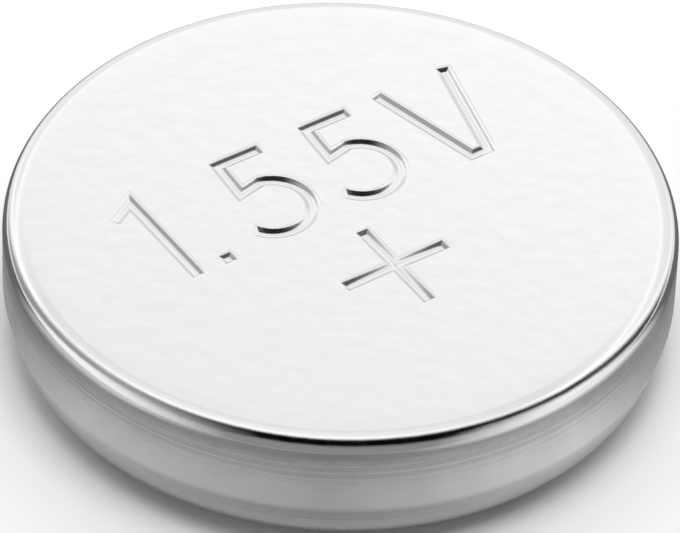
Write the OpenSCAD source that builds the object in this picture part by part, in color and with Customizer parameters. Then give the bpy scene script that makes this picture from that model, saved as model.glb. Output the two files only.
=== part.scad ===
// Silver oxide watch battery, lying on its negative cap with the positive face up.
// Every piece is a turned form: a half section in the X-Z plane, swept round the Z axis.
// The origin is at the middle of the negative face, and sizes are in millimetres.

/* [Cell] */
// Outside diameter of the can
cell_d = 9.5; // [7.9:0.1:11.6]
// Height from the negative face to the positive face
cell_h = 2.1; // [1.9:0.1:3.6]
// How far the negative face stands out past the crimped edge
cap_stand = 0.1; // [0.05:0.01:0.2]
// Clearance between round faces that are pressed together
seat_gap = 0.01; // [0.005:0.005:0.02]

/* [Positive can] */
// Sheet thickness of the drawn can
can_t = 0.2; // [0.15:0.01:0.25]
// Inside radius of the drawn corner round the positive face
can_corner_r = 0.1; // [0.05:0.01:0.2]
// Inside radius of the bend where the crimped wall starts to lean in
lean_r = 0.2; // [0.1:0.01:0.3]
// Length of the straight leaning wall
lean_l = 0.4; // [0.2:0.01:0.5]
// How far in the leaning wall comes over that length
lean_d = 0.112; // [0.05:0.001:0.15]
// Inside radius of the curl that closes over the gasket
crimp_r = 0.25; // [0.2:0.01:0.35]

/* [Negative cap] */
// Sheet thickness of the cap
cap_t = 0.18; // [0.12:0.01:0.22]
// Inside radius of the bend round the negative face
cap_corner_r = 0.18; // [0.1:0.01:0.3]
// Space left inside the folded-back rim
fold_space = 0.02; // [0.01:0.01:0.05]

/* [Sealing gasket] */
// Wall between the can and the folded rim of the cap
gasket_t = 0.3; // [0.2:0.01:0.35]
// Nylon left between the crimped edge and the free end of the fold
bite_t = 0.25; // [0.15:0.01:0.3]
// Foot that the rim of the cap beds into
foot_t = 0.16; // [0.1:0.01:0.25]
// Thickness of the lip that stands inside the rim
lip_t = 0.15; // [0.1:0.01:0.3]
// Height of that lip from the floor of the groove
lip_h = 0.3; // [0.2:0.01:0.4]

/* [Filling] */
// Thickness of the pressed cathode pellet
pellet_t = 0.6; // [0.4:0.05:0.8]
// Bevel on both edges of the pellet
pellet_bevel = 0.1; // [0.05:0.01:0.15]
// Thickness of the barrier film
film_t = 0.08; // [0.04:0.01:0.15]
// Thickness of the absorbent pad
pad_t = 0.22; // [0.1:0.01:0.3]

/* [Hidden] */
$fn = 180;

// Can: outside and inside radius, and the bends at its two ends
can_ro = cell_d / 2;
can_ri = can_ro - can_t;
corner_ro = can_corner_r + can_t;
lean_ro = lean_r + can_t;
crimp_ro = crimp_r + can_t;
lean_turn = asin(lean_d / lean_l);
lean_out = [cos(lean_turn), -sin(lean_turn)];
lean_up = [sin(lean_turn), cos(lean_turn)];
lean_step = (crimp_r - lean_r) * lean_out + lean_l * lean_up;
crimp_at = [can_ro - lean_ro - lean_step[0], cap_stand + crimp_ro];
lean_at = crimp_at + lean_step;

// Filling: the stack hangs down from the inside of the positive face
pellet_z1 = cell_h - can_t;
pellet_z0 = pellet_z1 - pellet_t;
film_z0 = pellet_z0 - film_t;
pad_z0 = film_z0 - pad_t;
pellet_edge = max(pellet_bevel, can_corner_r);
fill_r = can_ri - seat_gap;

// Cap: a wall with a second layer folded back outside it
fold_ro = cap_t + fold_space / 2;
fold_r1 = can_ri - gasket_t - 2 * seat_gap;
fold_x = fold_r1 - fold_ro;
wall_ro = fold_x - fold_space / 2;
wall_ri = wall_ro - cap_t;
rim_z = film_z0 - foot_t - seat_gap;
fold_z1 = rim_z - fold_ro;
fold_z0 = crimp_at[1] - crimp_r + bite_t;
cap_corner_ro = cap_corner_r + cap_t;
flat_r = wall_ro - cap_corner_ro;

// Gasket: squeezed against the cap's wall, with a lip that stands inside the rim
squeeze_r = wall_ro + seat_gap;
lip_ro = wall_ri - seat_gap;
lip_ri = lip_ro - lip_t;
lip_z0 = rim_z - lip_h;

// Rectangle between two radii and two heights
module strip(r0, r1, z0, z1) {
    polygon([[r0, z0], [r1, z0], [r1, z1], [r0, z1]]);
}

// Slice of a disc of radius r about the point at, from angle a0 to angle a1
module slice(at, r, a0, a1) {
    reach = 2 * r;
    middle = (a0 + a1) / 2;
    translate(at)
        intersection() {
            circle(r);
            polygon([
                [0, 0],
                reach * [cos(a0), sin(a0)],
                reach * [cos(middle), sin(middle)],
                reach * [cos(a1), sin(a1)]
            ]);
        }
}

// Bent sheet of thickness t on an inside radius r
module bend(at, r, t, a0, a1) {
    difference() {
        slice(at, r + t, a0, a1);
        translate(at)
            circle(r);
    }
}

// Form inside the crimped end of the can, grown outwards by g. The two bends run
// on inside the straight wall, so that all three overlap
module crimped(g) {
    lean_g = lean_r + g;
    crimp_g = crimp_r + g;
    slice(lean_at, lean_g, -2 * lean_turn, 0);
    slice(crimp_at, crimp_g, -90, 0);
    polygon([
        crimp_at - [0, crimp_g],
        crimp_at + crimp_g * lean_out,
        lean_at + lean_g * lean_out,
        lean_at + [lean_g, 0],
        [crimp_at[0], lean_at[1]]
    ]);
}

// Drawn cup whose wall is leaned in and curled under at its open end
module positive_can() {
    color("#d9d9d6")
        rotate_extrude() {
            strip(0, can_ro - corner_ro, cell_h - can_t, cell_h);
            bend([can_ro - corner_ro, cell_h - corner_ro], can_corner_r, can_t, 0, 90);
            strip(can_ri, can_ro, lean_at[1], cell_h - corner_ro);
            difference() {
                crimped(can_t);
                crimped(0);
            }
        }
}

// Shallow cup whose rim is folded back outside its wall
module negative_cap() {
    color("#cfcfcb")
        rotate_extrude() {
            strip(0, flat_r, 0, cap_t);
            bend([flat_r, cap_corner_ro], cap_corner_r, cap_t, -90, 0);
            strip(wall_ri, wall_ro, cap_corner_ro, fold_z1);
            bend([fold_x, fold_z1], fold_space / 2, cap_t, 0, 90);
            bend([fold_x, fold_z1], fold_space / 2, cap_t, 90, 180);
            strip(fold_r1 - cap_t, fold_r1, fold_z0, fold_z1);
        }
}

// Space inside the can that the outer wall of the gasket is squeezed into
module squeezed_space() {
    strip(squeeze_r, fill_r, lean_at[1], film_z0);
    strip(squeeze_r, crimp_at[0], crimp_at[1] - crimp_r + seat_gap, lean_at[1]);
    crimped(-seat_gap);
}

// Ring with a groove that takes the folded rim, hooked over the free end of the fold
module sealing_gasket() {
    color("#e8e6dc")
        rotate_extrude()
            difference() {
                union() {
                    squeezed_space();
                    strip(lip_ri, squeeze_r, fold_z1, film_z0);
                    strip(lip_ri, lip_ro, lip_z0, film_z0);
                }
                strip(lip_ro, fold_r1 + seat_gap, fold_z0 - seat_gap, fold_z1);
                translate([fold_x, fold_z1])
                    circle(fold_ro + seat_gap);
            }
}

// Gelled zinc powder, filling the cap up to the pad
module zinc_anode() {
    color("#8b8d90")
        rotate_extrude() {
            strip(0, flat_r, cap_t, cap_corner_ro);
            slice([flat_r, cap_corner_ro], cap_corner_r - seat_gap, -90, 0);
            strip(0, wall_ri - seat_gap, cap_corner_ro, lip_z0 - seat_gap);
            strip(0, lip_ri - seat_gap, lip_z0 - seat_gap, pad_z0);
        }
}

// Non-woven disc inside the lip of the gasket
module absorbent_pad() {
    color("#f2efe6")
        rotate_extrude()
            strip(0, lip_ri - seat_gap, pad_z0, film_z0);
}

// Film disc, clamped at its edge between the gasket and the pellet
module barrier_film() {
    color("#d8d2b8")
        rotate_extrude()
            strip(0, fill_r, film_z0, pellet_z0);
}

// Pressed disc with bevelled edges
module cathode_pellet() {
    color("#3a3a3c")
        rotate_extrude()
            polygon([
                [0, pellet_z0],
                [fill_r - pellet_edge, pellet_z0],
                [fill_r, pellet_z0 + pellet_edge],
                [fill_r, pellet_z1 - pellet_edge],
                [fill_r - pellet_edge, pellet_z1],
                [0, pellet_z1]
            ]);
}

positive_can();
sealing_gasket();
negative_cap();
zinc_anode();
absorbent_pad();
barrier_film();
cathode_pellet();
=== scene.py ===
import math

import bmesh
import bpy
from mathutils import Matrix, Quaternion, Vector


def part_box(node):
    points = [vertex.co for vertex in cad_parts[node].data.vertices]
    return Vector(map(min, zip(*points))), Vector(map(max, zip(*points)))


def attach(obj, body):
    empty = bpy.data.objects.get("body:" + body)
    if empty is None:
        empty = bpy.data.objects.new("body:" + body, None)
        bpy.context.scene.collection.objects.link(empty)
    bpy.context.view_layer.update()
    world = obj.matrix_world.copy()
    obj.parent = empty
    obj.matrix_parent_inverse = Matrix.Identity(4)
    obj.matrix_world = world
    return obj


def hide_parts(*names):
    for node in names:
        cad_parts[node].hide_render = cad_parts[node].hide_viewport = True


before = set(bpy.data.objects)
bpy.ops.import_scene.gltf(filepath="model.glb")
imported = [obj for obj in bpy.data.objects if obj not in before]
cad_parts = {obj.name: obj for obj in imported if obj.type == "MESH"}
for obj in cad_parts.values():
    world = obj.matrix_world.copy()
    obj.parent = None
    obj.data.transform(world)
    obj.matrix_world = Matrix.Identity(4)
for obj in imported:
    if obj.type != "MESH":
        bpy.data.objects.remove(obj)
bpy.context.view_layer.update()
scene = bpy.context.scene

mm = 0.001  # sizes are written in millimetres, Blender works in metres
turnSteps = 288  # facets round a turned piece, enough for a clean mirror edge
sharpEdge = 30  # degrees past which two facets meet in a hard edge
besideBend = 0.02  # a ring this close to a bend keeps the flat beside it evenly shaded
noiseSpan = (0.3, 0.7)  # values that most of a noise texture lies between

canLow, canHigh = [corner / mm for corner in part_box("positive_can")]
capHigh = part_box("negative_cap")[1] / mm
gasketLow, gasketHigh = [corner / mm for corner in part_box("sealing_gasket")]


def hexColour(code):
    # sRGB hex to linear, as the shaders take it
    parts = [int(code[i:i + 2], 16) / 255 for i in (1, 3, 5)]
    linear = [p / 12.92 if p <= 0.04045 else ((p + 0.055) / 1.055) ** 2.4 for p in parts]
    return (*linear, 1)


def perMetre(size):
    # texture scale at which one feature is this many millimetres across
    return 1 / (size * mm)


def addNode(tree, kind, settings=None, links=None):
    # settings and links go by name or by socket number; a Mix node has its factor at 0, its numbers at 2
    # and 3, and its colours at 6 and 7
    node = tree.nodes.new(kind)
    for name, value in (settings or {}).items():
        if isinstance(name, str) and hasattr(node, name):
            setattr(node, name, value)
        else:
            node.inputs[name].default_value = value
    for name, source in (links or {}).items():
        tree.links.new(source, node.inputs[name])
    return node


def newMaterial(name):
    material = bpy.data.materials.new(name)
    material.use_nodes = True
    tree = material.node_tree
    return material, tree, tree.nodes["Principled BSDF"]


def setRamp(ramp, stops):
    # stops are (place, grey level or colour)
    while len(ramp.elements) < len(stops):
        ramp.elements.new(1)
    for element, (place, value) in zip(ramp.elements, stops):
        element.position = place
        element.color = value if isinstance(value, tuple) else (value, value, value, 1)


def shadeAlong(tree, source, stops, unit=1):
    # shades at the values that the stops name, blended between them
    first, last = stops[0][0], stops[-1][0]
    along = addNode(tree, "ShaderNodeMapRange", {"From Min": first * unit, "From Max": last * unit},
                    {"Value": source})
    ramp = addNode(tree, "ShaderNodeValToRGB", links={0: along.outputs["Result"]})
    setRamp(ramp.color_ramp, [((at - first) / (last - first), shade) for at, shade in stops])
    return ramp.outputs["Color"]


def arc(x, z, radius, start, end, steps):
    # points round the middle (x, z), between two angles in degrees
    turn = math.radians(end - start) / steps
    first = math.radians(start)
    return [(x + radius * math.cos(first + i * turn), z + radius * math.sin(first + i * turn))
            for i in range(steps + 1)]


def ringVerts(bm, radius, height):
    if radius == 0:
        return [bm.verts.new((0, 0, height * mm))]
    turns = [2 * math.pi * i / turnSteps for i in range(turnSteps)]
    return [bm.verts.new((radius * math.cos(a) * mm, radius * math.sin(a) * mm, height * mm))
            for a in turns]


def spin(bm, outline, firstRing=None, closed=False):
    # sweeps (radius, height) points round Z; a point on the axis becomes one vertex
    rings = [firstRing] if firstRing else []
    rings += [ringVerts(bm, radius, height) for radius, height in outline]
    pairs = list(zip(rings, rings[1:]))
    if closed:
        pairs.append((rings[-1], rings[0]))
    for one, two in pairs:
        for i in range(turnSteps):
            j = (i + 1) % turnSteps
            if len(one) == 1:
                bm.faces.new((one[0], two[j], two[i]))
            elif len(two) == 1:
                bm.faces.new((one[i], one[j], two[0]))
            else:
                bm.faces.new((one[i], one[j], two[j], two[i]))


def addPiece(name, bm, material):
    bmesh.ops.recalc_face_normals(bm, faces=bm.faces)
    mesh = bpy.data.meshes.new(name)
    bm.to_mesh(mesh)
    bm.free()
    mesh.polygons.foreach_set("use_smooth", [True] * len(mesh.polygons))
    mesh.set_sharp_from_angle(angle=math.radians(sharpEdge))
    mesh.materials.append(material)
    piece = bpy.data.objects.new(name, mesh)
    scene.collection.objects.link(piece)
    return piece


# can: a drawn steel cup with a stamped face and a crimped edge

can = {
    "sheet": 0.2,
    "cornerInside": 0.1,
    "leanInside": 0.2,  # bend where the crimped wall starts to lean in
    "leanLength": 0.4,
    "leanIn": 0.112,
    "crimpInside": 0.25,  # curl that closes over the gasket
    "flatFace": 4.1,  # radius inside which the face is filled round the marks
    "faceColour": "#E8E8E7",
    # the wall's colour is darker than the face's: partly the drawn finish, partly painted shade
    "faceRough": (0.1, 0.15),
    "wallColourWithPaintedShade": "#C4C4C3",
    "wallRough": (0.2, 0.27),
    "fade": (1.5, 1.85),  # heights between which the drawn wall gives way to the tumbled face, and the wall's darker colour, partly painted shade, gives way to the face's
    "haze": 0.35,  # width of its cloudy patches
    # width and depth of each pattern; grain and rings are coarser than the real ones so that they show
    "grain": (0.04, 0.0006),
    "knocks": (0.3, 0.0025),
    "rings": (0.05, 0.002),
    "ringLength": 12,  # how far one ring runs before it gives way to the next
}

marks = {
    "turn": 35,  # degrees from X to the line of figures
    "stroke": 0.18,
    "high": 1.7,
    "figures": (-0.45, 0.77),  # middle of the line of figures
    "plus": (0.78, -1.07),
    "plusArm": 0.84,
    "depth": 0.066,
    "plusDepths": (0.65, 1.12),  # share of that depth at the middle of the plus and at its ends
    "sunkEdge": 0.035,  # how far the face is drawn down outside a stroke
    "flank": 0.11,  # width of the rounded slope from the face to the floor of a stroke
    "rough": 0.2,  # rubbed duller by the punch
    "dullFrom": (0.1, 0.3),  # shares of the depth between which the dull finish sets in
    "slopeSteps": 12,
    "lead": 0.01,  # width of a flat ring outside the slope, which keeps the face level up to it
    "corner": 0.03,  # length over which the shading turns a stroke's corner
}


def drawnNickel():
    # nickel-plated steel, drawn and tumbled: a soft mirror on the face, with an even haze and very shallow
    # knocks, and a wall with the faint rings that the die left, its colour greyer partly for the drawn
    # finish, partly painted shade
    material, tree, shader = newMaterial("nickelPlatedSteelDrawn")
    shader.inputs["Metallic"].default_value = 1
    place = addNode(tree, "ShaderNodeTexCoord").outputs["Object"]
    height = addNode(tree, "ShaderNodeSeparateXYZ", links={0: place}).outputs["Z"]
    fadeLow, fadeHigh = [z * mm for z in can["fade"]]
    faceNotWall = addNode(tree, "ShaderNodeMapRange",
                      {"interpolation_type": "SMOOTHSTEP", "From Min": fadeLow, "From Max": fadeHigh},
                      {"Value": height}).outputs["Result"]
    # the colour goes from the wall's, which holds painted shade, to the face's
    wall, face = hexColour(can["wallColourWithPaintedShade"]), hexColour(can["faceColour"])
    colour = addNode(tree, "ShaderNodeMix", {"data_type": "RGBA", 6: wall, 7: face}, {0: faceNotWall})
    tree.links.new(colour.outputs[2], shader.inputs["Base Color"])

    low, high = noiseSpan
    haze = addNode(tree, "ShaderNodeTexNoise", {"Scale": perMetre(can["haze"]), "Detail": 4},
                   {"Vector": place})
    rough = []
    for smooth, dull in (can["wallRough"], can["faceRough"]):
        rough.append(addNode(tree, "ShaderNodeMapRange",
                             {"From Min": low, "From Max": high, "To Min": smooth, "To Max": dull},
                             {"Value": haze.outputs["Fac"]}).outputs["Result"])
    roughness = addNode(tree, "ShaderNodeMix", links={0: faceNotWall, 2: rough[0], 3: rough[1]})
    # the marks are duller, from just under the face down and only inside the rim
    start, end = [(canHigh.z - share * marks["depth"]) * mm for share in marks["dullFrom"]]
    sunk = addNode(tree, "ShaderNodeMapRange", {"From Min": start, "From Max": end}, {"Value": height})
    flatPlace = addNode(tree, "ShaderNodeVectorMath", {"operation": "MULTIPLY", 1: (1, 1, 0)}, {0: place})
    out = addNode(tree, "ShaderNodeVectorMath", {"operation": "LENGTH"}, {0: flatPlace.outputs["Vector"]})
    inside = addNode(tree, "ShaderNodeMath", {"operation": "LESS_THAN", 1: can["flatFace"] * mm},
                     {0: out.outputs["Value"]})
    struck = addNode(tree, "ShaderNodeMath", {"operation": "MULTIPLY"},
                     {0: sunk.outputs["Result"], 1: inside.outputs["Value"]})
    roughness = addNode(tree, "ShaderNodeMix", {3: marks["rough"]},
                        {0: struck.outputs["Value"], 2: roughness.outputs[0]})
    tree.links.new(roughness.outputs[0], shader.inputs["Roughness"])

    # fine grain all over, knocks on the face only and die rings on the wall only
    size, depth = can["grain"]
    grain = addNode(tree, "ShaderNodeTexNoise", {"Scale": perMetre(size), "Detail": 3}, {"Vector": place})
    bump = addNode(tree, "ShaderNodeBump", {"Distance": depth * mm}, {"Height": grain.outputs["Fac"]})
    size, depth = can["knocks"]
    knocks = addNode(tree, "ShaderNodeTexNoise", {"Scale": perMetre(size), "Detail": 1}, {"Vector": place})
    bump = addNode(tree, "ShaderNodeBump", {"Distance": depth * mm},
                   {"Strength": faceNotWall, "Height": knocks.outputs["Fac"], "Normal": bump.outputs["Normal"]})
    size, depth = can["rings"]
    along, across = perMetre(can["ringLength"]), perMetre(size)
    ringPlace = addNode(tree, "ShaderNodeMapping", {"Scale": (along, along, across)}, {"Vector": place})
    rings = addNode(tree, "ShaderNodeTexNoise", {"Scale": 1, "Detail": 3},
                    {"Vector": ringPlace.outputs["Vector"]})
    onWall = addNode(tree, "ShaderNodeMapRange", {"To Min": 1, "To Max": 0}, {"Value": faceNotWall})
    bump = addNode(tree, "ShaderNodeBump", {"Distance": depth * mm},
                   {"Strength": onWall.outputs["Result"], "Height": rings.outputs["Fac"],
                    "Normal": bump.outputs["Normal"]})
    tree.links.new(bump.outputs["Normal"], shader.inputs["Normal"])
    return material


def closeToCorners(path, half):
    # adds a point near both ends of each long side, so that the side shades evenly between them
    ways = [(b - a).normalized() for a, b in zip(path, path[1:])]
    wide = half + marks["sunkEdge"]
    clear = [wide * math.tan(a.angle(b) / 2) + marks["corner"] for a, b in zip(ways, ways[1:])]
    clear = [marks["flank"], *clear, marks["flank"]]
    points = [path[0]]
    for i, way in enumerate(ways):
        a, b = path[i], path[i + 1]
        if (b - a).length > clear[i] + clear[i + 1] + marks["corner"]:
            points += [a + way * clear[i], b - way * clear[i + 1]]
        points.append(b)
    return points


def strokeOutline(path, half, inset):
    # outline of a square-ended stroke with mitred corners, drawn in by inset all round
    points = closeToCorners([Vector(p) for p in path], half)
    ways = [(b - a).normalized() for a, b in zip(points, points[1:])]
    points[0] = points[0] + ways[0] * inset
    points[-1] = points[-1] - ways[-1] * inset
    left, right = [], []
    for i, point in enumerate(points):
        after = ways[min(i, len(ways) - 1)]
        middle = (ways[max(i - 1, 0)] + after).normalized()
        side = Vector((-middle.y, middle.x)) * (half - inset) / middle.dot(after)
        left.append(point + side)
        right.append(point - side)
    return left + right[::-1]


def plusOutline(arm, half, inset):
    # outline of a plus, drawn in by inset all round: one arm and the inner corner after it, four times
    reach, inner = arm - inset, half - inset
    far, near = arm - marks["flank"], half + marks["sunkEdge"] + marks["corner"]
    oneArm = [(near, -inner), (far, -inner), (reach, -inner)]
    oneArm += [(reach, inner), (far, inner), (near, inner), (inner, inner)]
    outline = []
    for i in range(4):
        turn = Quaternion((0, 0, 1), i * math.pi / 2)
        outline += [(turn @ Vector((*point, 0))).to_2d() for point in oneArm]
    return outline


def figurePaths():
    # middle lines of the figures on a line 1 high, which scales to the marks' height
    edge = marks["stroke"] / 2 / marks["high"]
    one = [(0, 0.86), (0.24, 1), (0.24, -edge)]
    dot = [(0, -edge), (0, edge)]
    five = [(0.5, 1), (0.08, 1), (0.05, 0.6)] + arc(0.19, 0.33, 0.33, 75, -150, steps=24)
    vee = [(0, 1 + edge), (0.26, 0), (0.42, 0), (0.68, 1 + edge)]
    places = [(one, 0), (dot, 0.56), (five, 1.02), (five, 1.9), (vee, 2.72)]
    wide = places[-1][1] + vee[-1][0]
    return [[((x + start - wide / 2) * marks["high"], (y - 0.5) * marks["high"]) for x, y in path]
            for path, start in places]


def struckMarks():
    # for each mark, its outlines from the face down to the floor of the line
    half = marks["stroke"] / 2
    turn = Quaternion((0, 0, 1), math.radians(marks["turn"]))
    section = [(-marks["sunkEdge"] - marks["lead"], 0)]
    for i in range(marks["slopeSteps"] + 1):
        along = i / marks["slopeSteps"]
        down = along * along * (3 - 2 * along)  # rounded at the top and at the foot
        section.append((marks["flank"] * along - marks["sunkEdge"], marks["depth"] * down))

    def onFace(outline, middle, depths):
        return [turn @ point.to_3d() + Vector((*middle, -depth)) for point, depth in zip(outline, depths)]

    def plusLevel(inset, depth):
        # the plus is struck deeper at its ends
        outline = plusOutline(marks["plusArm"], half, inset)
        least, most = marks["plusDepths"]
        shares = [least + (most - least) * min(p.length / marks["plusArm"], 1) for p in outline]
        return onFace(outline, marks["plus"], [depth * share for share in shares])

    def figureLevel(path, inset, depth):
        outline = strokeOutline(path, half, inset)
        return onFace(outline, marks["figures"], [depth] * len(outline))

    struck = [[plusLevel(inset, depth) for inset, depth in section]]
    for path in figurePaths():
        struck.append([figureLevel(path, inset, depth) for inset, depth in section])
    return struck


def makeFace(bm, top):
    # flat face with the marks struck into it; gives back its outer ring
    edges = []

    def closeRing(verts):
        edges.extend(bm.edges.new((a, b)) for a, b in zip(verts, verts[1:] + verts[:1]))

    rim = ringVerts(bm, can["flatFace"], top)
    closeRing(rim)
    for levels in struckMarks():
        rings = [[bm.verts.new((p.x * mm, p.y * mm, (top + p.z) * mm)) for p in outline]
                 for outline in levels]
        closeRing(rings[0])
        for upper, lower in zip(rings, rings[1:]):
            for i in range(len(upper)):
                j = (i + 1) % len(upper)
                bm.faces.new((upper[i], upper[j], lower[j], lower[i]))
        bm.faces.new(rings[-1])
    bmesh.ops.triangle_fill(bm, use_beauty=True, edges=edges, normal=(0, 0, 1))
    return rim


def crimpedWall(outside, curlSteps):
    # foot of the can's wall, this far outside its inner face: it leans in, then curls under
    lean, crimp = can["leanInside"], can["crimpInside"]
    turn = math.asin(can["leanIn"] / can["leanLength"])
    leanX = canHigh.x - can["sheet"] - lean
    crimpX = leanX - (crimp - lean) * math.cos(turn) - can["leanIn"]
    crimpZ = canLow.z + can["sheet"] + crimp
    leanZ = crimpZ - (crimp - lean) * math.sin(turn) + can["leanLength"] * math.cos(turn)
    leanTurn = math.degrees(turn)
    return (arc(leanX, leanZ, lean + outside, 0, -leanTurn, steps=8)
            + arc(crimpX, crimpZ, crimp + outside, -leanTurn, -90, curlSteps))


def canOutline():
    radius, top, sheet = canHigh.x, canHigh.z, can["sheet"]
    corner = can["cornerInside"] + sheet

    def layer(outside):
        # one side of the sheet, from the face to the crimped edge
        bend = arc(radius - corner, top - corner, can["cornerInside"] + outside, 90, 0, steps=30)
        return bend + crimpedWall(outside, curlSteps=24)

    return [(can["flatFace"] + besideBend, top)] + layer(sheet) + layer(0)[::-1] + [(0, top - sheet)]


def makeCan():
    bm = bmesh.new()
    rim = makeFace(bm, canHigh.z)
    spin(bm, canOutline(), firstRing=rim)
    piece = addPiece("crimpedCan", bm, drawnNickel())
    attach(piece, "root")
    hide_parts("positive_can")
    print("can: face struck, edge crimped,", len(piece.data.polygons), "faces")


makeCan()

# cap: a shallow pressed cup with its rim folded back outside the wall

cap = {
    "sheet": 0.18,
    "cornerInside": 0.18,
    "foldSpace": 0.02,  # left inside the folded rim
    "foldEnd": 0.55,  # height of the rim's free end
    "colour": "#D6D5D2",
    "rough": (0.2, 0.3),
    "clouds": 0.8,  # width of the duller patches
    "grain": (0.05, 0.001),  # width and depth, coarser than the real grain so that it shows
}


def pressedNickel():
    # nickel-faced steel, pressed: an even satin, with a fine grain and small cloudy patches
    material, tree, shader = newMaterial("nickelFacedSteelPressed")
    shader.inputs["Metallic"].default_value = 1
    shader.inputs["Base Color"].default_value = hexColour(cap["colour"])
    place = addNode(tree, "ShaderNodeTexCoord").outputs["Object"]
    clouds = addNode(tree, "ShaderNodeTexNoise", {"Scale": perMetre(cap["clouds"]), "Detail": 5},
                     {"Vector": place})
    low, high = noiseSpan
    smooth, dull = cap["rough"]
    rough = addNode(tree, "ShaderNodeMapRange",
                    {"From Min": low, "From Max": high, "To Min": smooth, "To Max": dull},
                    {"Value": clouds.outputs["Fac"]})
    tree.links.new(rough.outputs["Result"], shader.inputs["Roughness"])
    size, depth = cap["grain"]
    grain = addNode(tree, "ShaderNodeTexNoise", {"Scale": perMetre(size), "Detail": 3}, {"Vector": place})
    bump = addNode(tree, "ShaderNodeBump", {"Distance": depth * mm}, {"Height": grain.outputs["Fac"]})
    tree.links.new(bump.outputs["Normal"], shader.inputs["Normal"])
    return material


def makeCap():
    sheet, space, corner = cap["sheet"], cap["foldSpace"], cap["cornerInside"]
    outside = capHigh.x
    foldX = outside - sheet - space / 2
    foldZ = capHigh.z - sheet - space / 2
    wallOut = foldX - space / 2
    flat = wallOut - corner - sheet
    outline = [(0, 0), (flat - besideBend, 0)]
    outline += arc(flat, corner + sheet, corner + sheet, -90, 0, steps=20)
    outline += arc(foldX, foldZ, space / 2, 180, 0, steps=8)
    outline += [(foldX + space / 2, cap["foldEnd"]), (outside, cap["foldEnd"])]
    outline += arc(foldX, foldZ, sheet + space / 2, 0, 180, steps=24)
    outline += arc(flat, corner + sheet, corner, 0, -90, steps=16) + [(0, sheet)]
    bm = bmesh.new()
    spin(bm, outline)
    piece = addPiece("pressedCap", bm, pressedNickel())
    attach(piece, "root")
    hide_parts("negative_cap")
    print("cap: pressed, rim folded,", len(piece.data.polygons), "faces")


makeCap()

# gasket: a moulded ring that the crimp squeezes round the folded rim

gasket = {
    "clearance": 0.01,
    "lip": 0.15,  # thickness of the lip inside the rim
    "lipEnd": 0.75,  # height of its free edge
    "colour": "#E6E3D8",
    "rough": (0.4, 0.52),
    "ior": 1.53,
    "milky": 0.3,
    "milkyDepth": 0.15,  # how far light goes into it
    "skin": (0.12, 0.002),  # width and depth of the mould's texture, coarser than the real one
}


def mouldedNylon():
    # natural nylon, moulded: milky and slightly see-through at the edge, with a dull even sheen
    material, tree, shader = newMaterial("nylonMoulded")
    shader.inputs["Base Color"].default_value = hexColour(gasket["colour"])
    shader.inputs["IOR"].default_value = gasket["ior"]
    shader.inputs["Subsurface Weight"].default_value = gasket["milky"]
    shader.inputs["Subsurface Scale"].default_value = gasket["milkyDepth"] * mm
    place = addNode(tree, "ShaderNodeTexCoord").outputs["Object"]
    size, depth = gasket["skin"]
    skin = addNode(tree, "ShaderNodeTexNoise", {"Scale": perMetre(size), "Detail": 4}, {"Vector": place})
    low, high = noiseSpan
    smooth, dull = gasket["rough"]
    rough = addNode(tree, "ShaderNodeMapRange",
                    {"From Min": low, "From Max": high, "To Min": smooth, "To Max": dull},
                    {"Value": skin.outputs["Fac"]})
    tree.links.new(rough.outputs["Result"], shader.inputs["Roughness"])
    bump = addNode(tree, "ShaderNodeBump", {"Distance": depth * mm}, {"Height": skin.outputs["Fac"]})
    tree.links.new(bump.outputs["Normal"], shader.inputs["Normal"])
    return material


def makeGasket():
    gap = gasket["clearance"]
    foldOut = cap["sheet"] + cap["foldSpace"] / 2 + gap
    foldX = capHigh.x + gap - foldOut
    foldZ = capHigh.z + gap - foldOut
    inner = foldX - cap["foldSpace"] / 2 + gap  # against the cap's wall
    lipOut = foldX - foldOut
    lipIn = lipOut - gasket["lip"]
    outline = [(inner, gasketLow.z), *reversed(crimpedWall(-gap, curlSteps=20))]
    outline += [(gasketHigh.x, gasketHigh.z), (lipIn, gasketHigh.z)]
    outline += [(lipIn, gasket["lipEnd"]), (lipOut, gasket["lipEnd"])]
    outline += arc(foldX, foldZ, foldOut, 180, 0, steps=24)
    outline += [(foldX + foldOut, cap["foldEnd"] - gap), (inner, cap["foldEnd"] - gap)]
    bm = bmesh.new()
    spin(bm, outline, closed=True)
    piece = addPiece("squeezedGasket", bm, mouldedNylon())
    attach(piece, "root")
    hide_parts("sealing_gasket")
    print("gasket: moulded,", len(piece.data.polygons), "faces")


makeGasket()

# filling: shut inside, so the solids stay as they are and get their materials; each grain has a width and
# a depth, and is coarser than in the real powders and fibres so that it shows

filling = {
    # gelled zinc powder: grey specks with a slight wet sheen
    "zinc_anode": {"material": "zincPowderGelled", "tones": ("#6E7276", "#A3A7AB"),
                   "grain": (0.12, 0.02), "rough": 0.45},
    # non-woven fibre: off-white, fluffy and dull
    "absorbent_pad": {"material": "nonWovenFibre", "tones": ("#E9E5DA", "#F7F5EF"),
                      "grain": (0.06, 0.02), "rough": 0.85},
    # pressed cellulose film: straw-coloured, smooth and faintly cloudy
    "barrier_film": {"material": "cellulosePressedFilm", "tones": ("#CFC49C", "#DDD4B2"),
                     "grain": (0.4, 0.002), "rough": 0.35},
    # pressed silver oxide: nearly black, with a dull fine grain
    "cathode_pellet": {"material": "silverOxidePressed", "tones": ("#26262A", "#3C3C41"),
                       "grain": (0.08, 0.01), "rough": 0.6},
}


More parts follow.
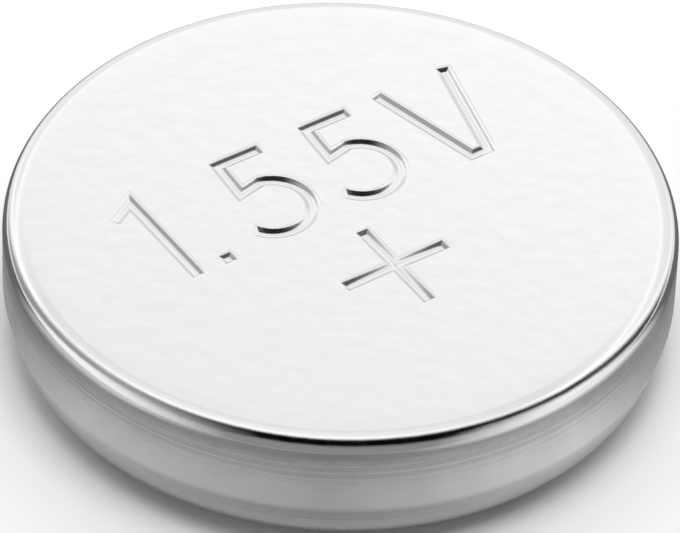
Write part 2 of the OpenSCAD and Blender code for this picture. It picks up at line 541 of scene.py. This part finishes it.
def makeFilling():
    pureDark, purePale = 0.35, 0.65  # noise values at which the two tones are pure
    for node, look in filling.items():
        material, tree, shader = newMaterial(look["material"])
        shader.inputs["Roughness"].default_value = look["rough"]
        size, depth = look["grain"]
        dark, pale = [hexColour(tone) for tone in look["tones"]]
        place = addNode(tree, "ShaderNodeTexCoord").outputs["Object"]
        grain = addNode(tree, "ShaderNodeTexNoise", {"Scale": perMetre(size), "Detail": 4},
                        {"Vector": place})
        tones = addNode(tree, "ShaderNodeValToRGB", links={0: grain.outputs["Fac"]})
        setRamp(tones.color_ramp, [(pureDark, dark), (purePale, pale)])
        tree.links.new(tones.outputs["Color"], shader.inputs["Base Color"])
        bump = addNode(tree, "ShaderNodeBump", {"Distance": depth * mm}, {"Height": grain.outputs["Fac"]})
        tree.links.new(bump.outputs["Normal"], shader.inputs["Normal"])
        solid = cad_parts[node]
        solid.data.materials.clear()
        solid.data.materials.append(material)
    print("filling:", len(filling), "materials set")


makeFilling()

# floor, light and camera

floor = {
    "colour": "#F5F5F4",
    "wide": 1200,
    "rough": 0.9,
    "gloss": 0.1,
}

# a glowing card, no lamp, that paints the reflection the metal shows round the cell
reflectionCard = {
    "hole": 9.6,
    "wide": 120,
    "high": 0.01,
    "behind": (6, 12),  # where it starts to go over into the paper behind the cell, and its end
    "middle": -0.9,  # its shades lie round this point, forward of the cell
    # painted reflection shades by distance from that point, and how much lighter they get by degrees round
    # from the front
    "shades": [(3.8, 0.31), (4.1, 0.37), (4.4, 0.51), (4.8, 0.59), (5.48, 0.6), (5.68, 0.24), (5.8, 0.22),
               (7, 0.21)],
    "sides": [(-95, 0.7), (-84, 0.75), (-72, 1), (-55, 1.35), (-36, 1.28), (-18, 1.16), (0, 1), (18, 1.24),
              (36, 1.58), (54, 1.74), (66, 1.28), (78, 0.85), (90, 0.7)],
    # the same for the painted reflection of pale ground further off at both sides
    "farShades": [(6, 0.3), (6.7, 0.5), (8.2, 0.66), (10, 0.95), (12, 1)],
    "farSides": [(-98, 0.1), (-86, 0.6), (-56, 0.7), (-42, 0.45), (-24, 0.2), (0, 0), (12, 0.15),
                 (24, 0.35), (42, 0.7), (56, 1), (86, 1), (98, 0.1)],
}

dome = {
    "axis": (0.083, 0.8, 0.735),  # way to the dome's middle, nearly where the face mirrors the camera
    "pinch": -0.048,  # draws its edge in at both sides
    "askew": -0.18,  # tilts its shades, so that they sit higher on the right
    # shades by height inside it, then by closeness to its axis: its bright brim, how its edge ends,
    # and what lies past the edge in front and at the sides
    "inside": [(0, 0.95), (0.5, 1.02), (0.6, 1.24), (0.64, 1.22), (0.665, 1.09), (0.69, 1.01), (0.74, 1),
               (0.8, 0.9), (1, 1.06)],
    "brim": [(0.6, 1.2), (0.7, 1.2), (0.8, 1)],
    "edge": [(0.42, 0), (0.46, 0.2), (0.52, 0.46), (0.58, 0.8), (0.64, 1)],
    "front": [(-0.3, 0.29), (-0.15, 0.16), (-0.03, 0), (0.3, 0)],
    "sides": [(-0.1, 1.1), (0.05, 1.1), (0.15, 0.85), (0.22, 0.35), (0.3, 0.08), (0.45, 0.02)],
    "aside": [(0.5, 0), (0.95, 1)],  # from the front shades to the side ones
    # light in the gap on the left, from far out to the middle
    "left": [(-0.9, 0.34), (-0.7, 0.42), (-0.5, 0.2), (-0.3, 0)],
}

lamp = {
    "turn": 30,  # degrees round from the front
    "up": 84,  # degrees above the floor
    "distance": 160,
    "wide": 80,
    "bright": 6,
}

camera = {
    "up": 41.57,  # degrees above the face
    "distance": 94.8,  # from the middle of the positive face
    "sensor": 36,
    "lens": 358.1,
    "clip": (1, 10000),
    "roll": 2.08,
    "aim": (0.008, -0.512, -0.578),  # picture's middle, from the middle of the positive face
}


def makeFloor():
    # matte paper: pale and even, so it shows only the shadow
    material, _, shader = newMaterial("mattePaper")
    shader.inputs["Roughness"].default_value = floor["rough"]
    shader.inputs["Specular IOR Level"].default_value = floor["gloss"]
    shader.inputs["Base Color"].default_value = hexColour(floor["colour"])
    bm = bmesh.new()
    bmesh.ops.create_grid(bm, x_segments=1, y_segments=1, size=floor["wide"] / 2 * mm)
    piece = addPiece("paperFloor", bm, material)


def makeReflectionCard():
    # glowing card, no lamp, that only the metal sees: a painted reflection, light close to the cell, then
    # dark, then pale far off at both sides
    material, tree, shader = newMaterial("paintedReflectionCard")
    shader.inputs["Base Color"].default_value = (0, 0, 0, 1)
    shader.inputs["Specular IOR Level"].default_value = 0
    shader.inputs["Emission Strength"].default_value = 1
    place = addNode(tree, "ShaderNodeTexCoord").outputs["Object"]
    out = addNode(tree, "ShaderNodeVectorMath",
                  {"operation": "DISTANCE", 1: (0, reflectionCard["middle"] * mm, 0)}, {0: place})
    axes = addNode(tree, "ShaderNodeSeparateXYZ", links={0: place})
    front = addNode(tree, "ShaderNodeMath", {"operation": "MULTIPLY", 1: -1}, {0: axes.outputs["Y"]})
    turn = addNode(tree, "ShaderNodeMath", {"operation": "ARCTAN2"},
                   {0: axes.outputs["X"], 1: front.outputs["Value"]})
    degree = math.radians(1)
    near = addNode(tree, "ShaderNodeMix", {"data_type": "RGBA", "blend_type": "MULTIPLY", 0: 1},
                   {6: shadeAlong(tree, out.outputs["Value"], reflectionCard["shades"], mm),
                    7: shadeAlong(tree, turn.outputs["Value"], reflectionCard["sides"], degree)})
    far = addNode(tree, "ShaderNodeMix", {"data_type": "RGBA", "blend_type": "MULTIPLY", 0: 1},
                  {6: shadeAlong(tree, out.outputs["Value"], reflectionCard["farShades"], mm),
                   7: shadeAlong(tree, turn.outputs["Value"], reflectionCard["farSides"], degree)})
    shade = addNode(tree, "ShaderNodeMix", {"data_type": "RGBA", "blend_type": "LIGHTEN", 0: 1},
                    {6: near.outputs[2], 7: far.outputs[2]})
    start, end = reflectionCard["behind"]
    behind = addNode(tree, "ShaderNodeMapRange", {"From Min": start * mm, "From Max": end * mm},
                     {"Value": axes.outputs["Y"]})
    shade = addNode(tree, "ShaderNodeMix", {"data_type": "RGBA", 7: hexColour(floor["colour"])},
                    {0: behind.outputs["Result"], 6: shade.outputs[2]})
    # the card glows with these painted reflection shades
    tree.links.new(shade.outputs[2], shader.inputs["Emission Color"])
    bm = bmesh.new()
    hole = ringVerts(bm, reflectionCard["hole"] / 2, reflectionCard["high"])
    edge = ringVerts(bm, reflectionCard["wide"] / 2, reflectionCard["high"])
    forward = end - reflectionCard["wide"] / 2
    bmesh.ops.translate(bm, verts=edge, vec=(0, forward * mm, 0))
    for i in range(turnSteps):
        j = (i + 1) % turnSteps
        bm.faces.new((hole[i], hole[j], edge[j], edge[i]))
    piece = addPiece("paintedReflectionCard", bm, material)
    piece.visible_camera = False
    piece.visible_diffuse = False
    piece.visible_shadow = False


def makeWorld():
    # a white dome over the cell and behind it; past its edge a dark gap, then white low at both sides
    # and grey low in front
    world = bpy.data.worlds.new("studio")
    scene.world = world
    world.use_nodes = True
    tree = world.node_tree
    way = addNode(tree, "ShaderNodeTexCoord").outputs["Generated"]
    axes = addNode(tree, "ShaderNodeSeparateXYZ", links={0: way})
    # the dome hangs askew, so the face gets lighter to the back and to the right
    tilted = addNode(tree, "ShaderNodeMath", {"operation": "MULTIPLY_ADD", 1: dome["askew"]},
                     {0: axes.outputs["X"], 2: axes.outputs["Z"]}).outputs["Value"]
    inside = shadeAlong(tree, tilted, dome["inside"])
    aside = addNode(tree, "ShaderNodeMath", {"operation": "ABSOLUTE"}, {0: axes.outputs["X"]})
    toAxis = addNode(tree, "ShaderNodeVectorMath", {"operation": "DOT_PRODUCT", 1: dome["axis"]}, {0: way})
    toAxis = addNode(tree, "ShaderNodeMath", {"operation": "MULTIPLY_ADD", 1: dome["pinch"]},
                     {0: aside.outputs["Value"], 2: toAxis.outputs["Value"]}).outputs["Value"]
    lit = addNode(tree, "ShaderNodeMix", {"data_type": "RGBA", "blend_type": "MULTIPLY", 0: 1},
                  {6: inside, 7: shadeAlong(tree, toAxis, dome["brim"])})
    low = addNode(tree, "ShaderNodeMix", {"data_type": "RGBA"},
                  {0: shadeAlong(tree, aside.outputs["Value"], dome["aside"]),
                   6: shadeAlong(tree, toAxis, dome["front"]), 7: shadeAlong(tree, toAxis, dome["sides"])})
    # the gap is not so dark on the left
    low = addNode(tree, "ShaderNodeMix", {"data_type": "RGBA", "blend_type": "LIGHTEN", 0: 1},
                  {6: low.outputs[2], 7: shadeAlong(tree, axes.outputs["X"], dome["left"])})
    both = addNode(tree, "ShaderNodeMix", {"data_type": "RGBA"},
                   {0: shadeAlong(tree, toAxis, dome["edge"]), 6: low.outputs[2], 7: lit.outputs[2]})
    tree.links.new(both.outputs[2], tree.nodes["Background"].inputs["Color"])


def fromFront(turn, up, distance):
    # point at so many degrees round from the front and up from level
    turn, up = math.radians(turn), math.radians(up)
    way = Vector((math.sin(turn) * math.cos(up), -math.cos(turn) * math.cos(up), math.sin(up)))
    return way * distance * mm


def makeLamp():
    data = bpy.data.lights.new("overhead", "AREA")
    data.shape = "RECTANGLE"
    data.size = data.size_y = lamp["wide"] * mm
    data.energy = lamp["bright"] * math.pi * data.size * data.size_y  # watts for that brightness
    overhead = bpy.data.objects.new("overhead", data)
    overhead.location = fromFront(lamp["turn"], lamp["up"], lamp["distance"])
    overhead.rotation_mode = "QUATERNION"
    overhead.rotation_quaternion = (-overhead.location).to_track_quat("-Z", "Y")
    overhead.visible_camera = False
    overhead.visible_glossy = False  # the metal mirrors the dome instead
    scene.collection.objects.link(overhead)


def makeCamera():
    data = bpy.data.cameras.new("camera")
    data.sensor_width = camera["sensor"]
    data.lens = camera["lens"]
    data.clip_start, data.clip_end = [reach * mm for reach in camera["clip"]]
    eye = bpy.data.objects.new("camera", data)
    face = Vector((0, 0, canHigh.z)) * mm
    eye.location = face + fromFront(0, camera["up"], camera["distance"])
    look = face + Vector(camera["aim"]) * mm - eye.location
    eye.rotation_mode = "QUATERNION"
    roll = Quaternion((0, 0, 1), math.radians(camera["roll"]))
    eye.rotation_quaternion = look.to_track_quat("-Z", "Y") @ roll
    scene.collection.objects.link(eye)
    scene.camera = eye


makeFloor()
makeReflectionCard()
makeWorld()
makeLamp()
makeCamera()
scene.view_settings.view_transform = "Standard"
print("stage: floor, card, dome, lamp and camera set")
